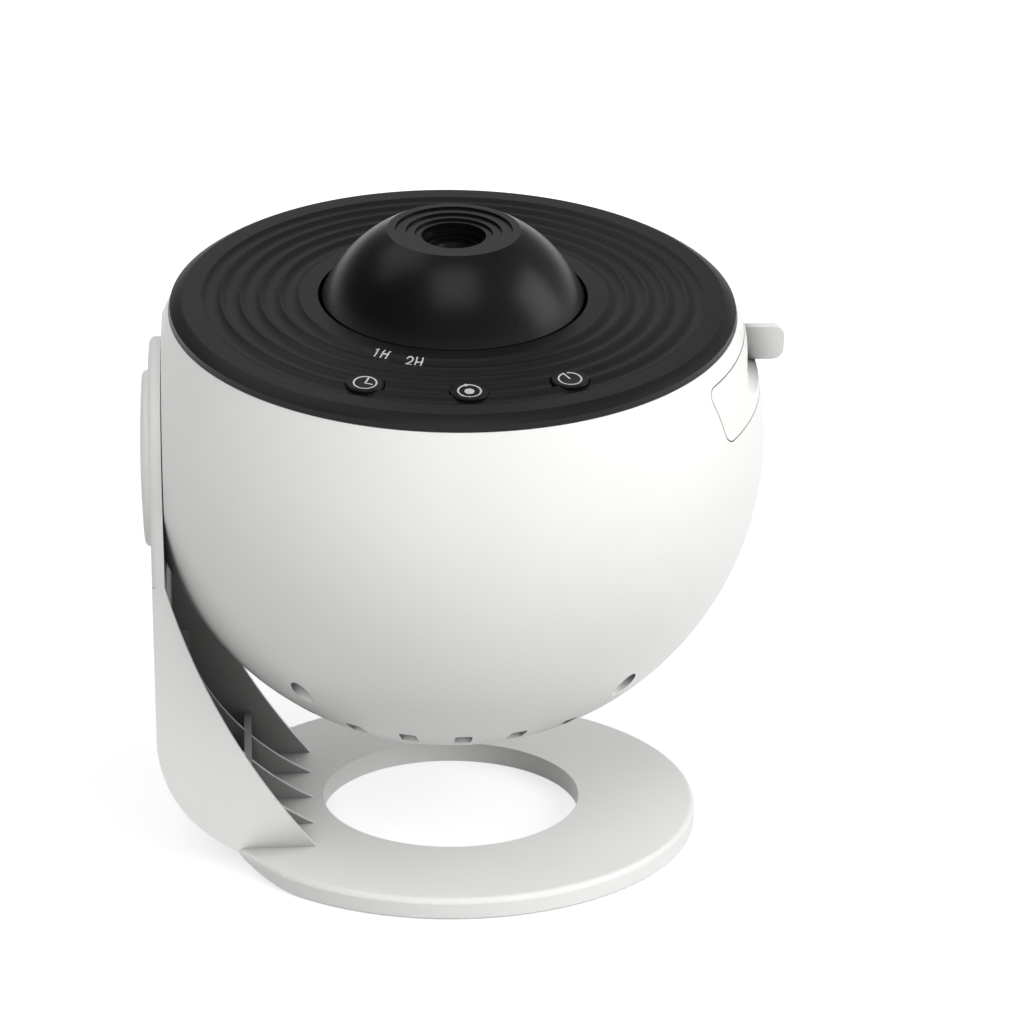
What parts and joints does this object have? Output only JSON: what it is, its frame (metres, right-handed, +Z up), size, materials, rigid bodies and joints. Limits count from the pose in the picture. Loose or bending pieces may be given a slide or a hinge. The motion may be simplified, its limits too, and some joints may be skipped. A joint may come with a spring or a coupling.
{
  "type": "planetarium projector",
  "caption": "Ball-shaped tabletop star projector tilting on a one-armed stand, with a focus dome, a film drawer and push buttons.",
  "frame": {"origin": "centre of the hole in the base ring, on the surface the pads stand on", "axes": "+Z up; -Y front, the side of the buttons; the arm stands at -X and the film drawer opens to +X"},
  "size_m": [0.1094, 0.1065, 0.11],
  "materials": {
    "white_shell": "satin",
    "white_stand": "satin",
    "black_cover": "fine matt",
    "black_dome": "satin",
    "black_button": "satin",
    "rubber_feet": "matt",
    "slip_ring": "matt",
    "steel": "zinc plated",
    "heat_sink_metal": "bare extruded",
    "motor_can": "nickel plated",
    "inner_plastic": "matt",
    "lens_clear": "polished",
    "film_clear": "clear printed film",
    "board_green": "solder mask",
    "led_body": "moulded emitter",
    "gear_white": "moulded",
    "header_cream": "moulded"
  },
  "bodies": {
    "stand": {"stand_frame": "white_stand", "foot_pads": "rubber_feet", "pivot_cap": "white_stand", "friction_ring": "slip_ring"},
    "head": {"bowl_shell": "white_shell", "pivot_washer": "steel", "pivot_screw": "steel", "case_screws": "steel", "top_cover": "black_cover", "tact_switches": "inner_plastic", "button_board": "board_green", "inner_frame": "inner_plastic", "button_board_screws": "steel", "motor_screws": "steel", "holder_screws": "steel", "sink_screws": "steel", "lens_mount": "inner_plastic", "mount_screws": "steel", "drive_motor": "motor_can", "condenser_holder": "inner_plastic", "condenser_lens": "lens_clear", "light_source": "led_body", "emitter_board": "heat_sink_metal", "heat_sink": "heat_sink_metal", "main_board": "board_green", "board_screws": "steel", "power_inlet": "steel", "wire_headers": "header_cream"},
    "dome": {"focus_dome": "black_dome"},
    "barrel": {"lens_barrel": "black_dome", "front_lens": "lens_clear", "lens_spacer": "inner_plastic", "rear_lens": "lens_clear", "ring_nut": "inner_plastic"},
    "drawer": {"film_drawer": "white_shell"},
    "film": {"film_ring": "gear_white", "star_film": "film_clear"},
    "pinion": {"drive_pinion": "gear_white", "motor_shaft": "steel"},
    "timer_key": {"timer_button": "black_button"},
    "mode_key": {"mode_button": "black_button"},
    "power_key": {"power_button": "black_button"}
  },
  "joints": [
    {"name": "head_tilt", "type": "hinge", "parent": "stand", "child": "head", "pos_m": [0, 0, 0.06735], "axis": [1, 0, 0], "continuous": true},
    {"name": "focus_turn", "type": "hinge", "parent": "head", "child": "dome", "pos_m": [0, -0.00063, 0.071], "axis": [0, -0.1711, 0.9853], "range_deg": [-180, 180]},
    {"name": "focus_slide", "type": "slide", "parent": "dome", "child": "barrel", "axis": [0, -0.1711, 0.9853], "range_m": [-0.00076, 0.00076]},
    {"name": "drawer_slide", "type": "slide", "parent": "head", "child": "drawer", "axis": [1, 0, 0], "range_m": [0, 0.045]},
    {"name": "film_spin", "type": "hinge", "parent": "drawer", "child": "film", "pos_m": [0, -0.00063, 0.071], "axis": [0, -0.1711, 0.9853], "continuous": true},
    {"name": "pinion_spin", "type": "hinge", "parent": "head", "child": "pinion", "pos_m": [-0.029, -0.00063, 0.071], "axis": [0, -0.1711, 0.9853], "continuous": true},
    {"name": "timer_press", "type": "slide", "parent": "head", "child": "timer_key", "axis": [0, 0.1711, -0.9853], "range_m": [0, 0.0005], "stiffness_N_per_m": 1500, "springref_m": -0.0003},
    {"name": "mode_press", "type": "slide", "parent": "head", "child": "mode_key", "axis": [0, 0.1711, -0.9853], "range_m": [0, 0.0005], "stiffness_N_per_m": 1500, "springref_m": -0.0003},
    {"name": "power_press", "type": "slide", "parent": "head", "child": "power_key", "axis": [0, 0.1711, -0.9853], "range_m": [0, 0.0005], "stiffness_N_per_m": 1500, "springref_m": -0.0003}
  ],
  "couplings": [
    {"joint": "focus_slide", "follows": "focus_turn", "m_per_rad": 0.00023873},
    {"joint": "pinion_spin", "follows": "film_spin", "ratio": -4.8}
  ]
}
